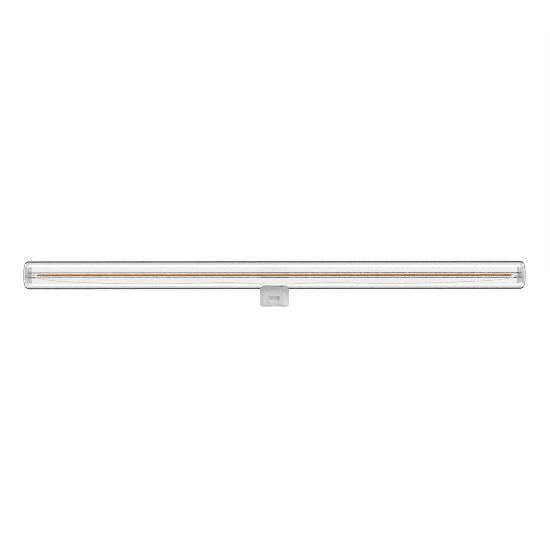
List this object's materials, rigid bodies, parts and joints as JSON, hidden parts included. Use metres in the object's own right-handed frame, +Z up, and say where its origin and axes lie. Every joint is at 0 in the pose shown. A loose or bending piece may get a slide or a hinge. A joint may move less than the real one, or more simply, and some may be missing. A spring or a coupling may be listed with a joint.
{
  "type": "linear led tube lamp",
  "caption": "Clear glass linear LED tube lamp with domed ends, a slim amber filament on its axis and a light grey plug-in cap under its middle.",
  "frame": {"origin": "on the contact plane, under the middle of the cap", "axes": "+X along the tube, +Z up from the contacts to the tube, -Y towards the front"},
  "size_m": [0.5, 0.028, 0.0453],
  "materials": {
    "clear_glass": "clear, polished",
    "filament_amber": "amber phosphor coating",
    "pin_metal": "bright drawn wire",
    "ferrule_metal": "dark crimped metal",
    "plug_silicone": "translucent, soft sheen",
    "lead_copper": "drawn wire",
    "bond_clear": "cured adhesive",
    "cap_grey": "fine satin moulding",
    "contact_metal": "plated strip",
    "board_laminate": "solder-masked laminate",
    "package_black": "moulded package",
    "capacitor_sleeve": "shrunk sleeve",
    "fuse_coating": "dipped coating"
  },
  "bodies": {
    "root": {"glass_envelope": "clear_glass", "filament_tube": "clear_glass", "led_filament": "filament_amber", "filament_pin_left": "pin_metal", "filament_pin_right": "pin_metal", "crimp_left": "ferrule_metal", "crimp_right": "ferrule_metal", "end_plug_left": "plug_silicone", "end_plug_right": "plug_silicone", "lead_wire_left": "lead_copper", "lead_wire_right": "lead_copper", "wire_grommet": "plug_silicone", "saddle_bond": "bond_clear", "cap_body": "cap_grey", "cap_base": "cap_grey", "contact_left": "contact_metal", "contact_right": "contact_metal", "driver_board": "board_laminate", "bridge_rectifier": "package_black", "driver_chip": "package_black", "chip_resistors": "package_black", "smoothing_capacitor": "capacitor_sleeve", "fuse_resistor": "fuse_coating"}
  },
  "joints": []
}
